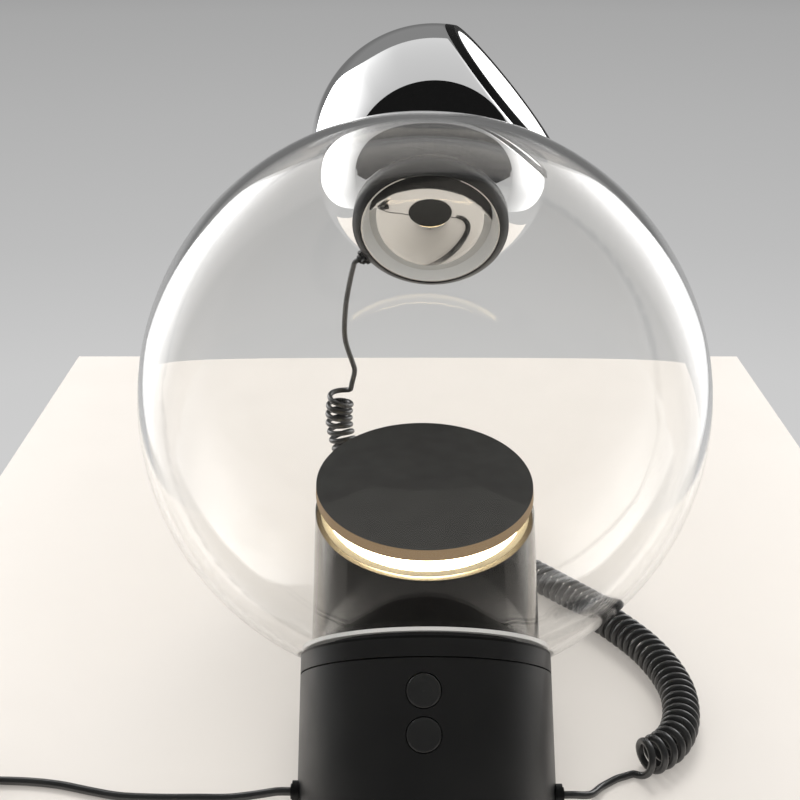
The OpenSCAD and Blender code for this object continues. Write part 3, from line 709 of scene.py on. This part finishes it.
def arch_point(u, v):
    """The arch from its near edge back, deeper and more flared at the sides."""
    a = ARCH_SPAN * (2 * u - 1)
    aside = part_way(abs(a), *ARCH_BEND) ** 3
    deep = (ARCH_DEEP + SIDE_DEEP * aside) * v ** 2
    r = ARCH_R + (ARCH_FLARE + SIDE_FLARE * aside) * deep
    return (r * math.sin(a), ARCH_NEAR + deep, ARCH_Z + r * math.cos(a))


def arch_level(spot):
    """Dim overhead and at the near edge, bright at the sides towards the back."""
    a = math.atan2(spot.x, spot.z - ARCH_Z)
    deep = part_way(spot.y, ARCH_NEAR, ARCH_NEAR + LEVEL_DEPTH)
    aside = part_way(abs(a), *SIDE_RISE)
    if a > 0:
        aside *= RIGHT_SHARE
    hot = part_way(abs(a), *HOT_RISE) * (1 - part_way(abs(a), *HOT_FALL))
    return NEAR_LEVEL + deep * (TOP_LEVEL + SIDE_LEVEL * aside + HOT_LEVEL * hot)


def hood_point(u, v):
    """A stretch of a ball on the near side, from below the table's height to past overhead."""
    s = HOOD_LOW + (HOOD_HIGH - HOOD_LOW) * v
    t = HOOD_SIDE + (math.pi - 2 * HOOD_SIDE) * u
    out = HOOD_R * math.sin(t)
    return (HOOD_R * math.cos(t), -out * math.cos(s), out * math.sin(s))


def seen_directly(tree):
    """One for rays that show the backdrop as it is: straight, in gloss or through glass."""
    path = tree.nodes.new("ShaderNodeLightPath")
    gloss = either(tree, path.outputs["Is Glossy Ray"], path.outputs["Is Transmission Ray"])
    return either(tree, path.outputs["Is Camera Ray"], gloss)


def grey_backdrop():
    """A world that is pale low down and dark from the horizon up, and lights matt surfaces evenly."""
    world = bpy.data.worlds.new("world")
    world.use_nodes = True
    tree = world.node_tree
    backdrop = tree.nodes["Background"]
    coord = tree.nodes.new("ShaderNodeTexCoord")
    split = tree.nodes.new("ShaderNodeSeparateXYZ")
    tree.links.new(coord.outputs["Generated"], split.inputs["Vector"])
    height = tree.nodes.new("ShaderNodeMapRange")
    height.inputs["From Min"].default_value = -BACKDROP_REACH
    height.inputs["From Max"].default_value = BACKDROP_REACH
    tree.links.new(split.outputs["Z"], height.inputs["Value"])
    ramp = tree.nodes.new("ShaderNodeValToRGB")
    tree.links.new(height.outputs["Result"], ramp.inputs["Fac"])
    stops = ramp.color_ramp.elements
    while len(stops) < len(GREYS):
        stops.new(0.5)
    for stop, (place, grey) in zip(stops, GREYS):
        stop.position = place
        stop.color = (grey, grey, grey, 1)
    tree.links.new(ramp.outputs["Color"], backdrop.inputs["Color"])
    fill = tree.nodes.new("ShaderNodeBackground")
    fill.inputs["Color"].default_value = (FILL, FILL, FILL, 1)
    choose = tree.nodes.new("ShaderNodeMixShader")
    tree.links.new(seen_directly(tree), choose.inputs["Fac"])
    tree.links.new(fill.outputs["Background"], choose.inputs[1])
    tree.links.new(backdrop.outputs["Background"], choose.inputs[2])
    tree.links.new(choose.outputs["Shader"], tree.nodes["World Output"].inputs["Surface"])
    return world


TABLE = new_material(
    "table_white", Base_Color=(0.52, 0.49, 0.455), Emission_Color=(1, 0.935, 0.865), Emission_Strength=0.24)
vary_roughness(TABLE, 30, 0.42, 0.55)
DARK = new_material("dark_hood", Base_Color=(0.01, 0.01, 0.01), Roughness=1.0, Specular_IOR_Level=0.0)

table_corners = [
    (TABLE_LEFT, TABLE_NEAR), (TABLE_RIGHT, TABLE_NEAR), (TABLE_RIGHT, TABLE_BACK), (TABLE_LEFT, TABLE_BACK),
]
table_verts = [(x, y, z) for z in (0, TABLE_LOW) for x, y in table_corners]
table_faces = [(0, 1, 2, 3), (0, 4, 5, 1), (1, 5, 6, 2), (2, 6, 7, 3), (3, 7, 4, 0), (4, 7, 6, 5)]
table = plain_mesh("table", table_verts, table_faces, TABLE)

arch = sheet("light_arch", arch_point, 64, 24, lit_cloth())
levels = arch.data.attributes.new("level", "FLOAT", "POINT")
for level, vert in zip(levels.data, arch.data.vertices):
    level.value = arch_level(vert.co)
hood = sheet("dark_hood", hood_point, 32, 24, DARK)
hood.visible_diffuse = False
for part in (arch, hood):
    part.visible_camera = False
    part.visible_shadow = False

sun_data = bpy.data.lights.new("soft_sun", "SUN")
sun_data.energy = 1.75
sun_data.angle = math.radians(25)
sun = add_object("soft_sun", sun_data)
sun.rotation_euler = (math.radians(-37), 0, 0)
sun.visible_glossy = False
sun.visible_transmission = False

bpy.context.scene.world = grey_backdrop()
bpy.context.scene.view_settings.view_transform = "Standard"
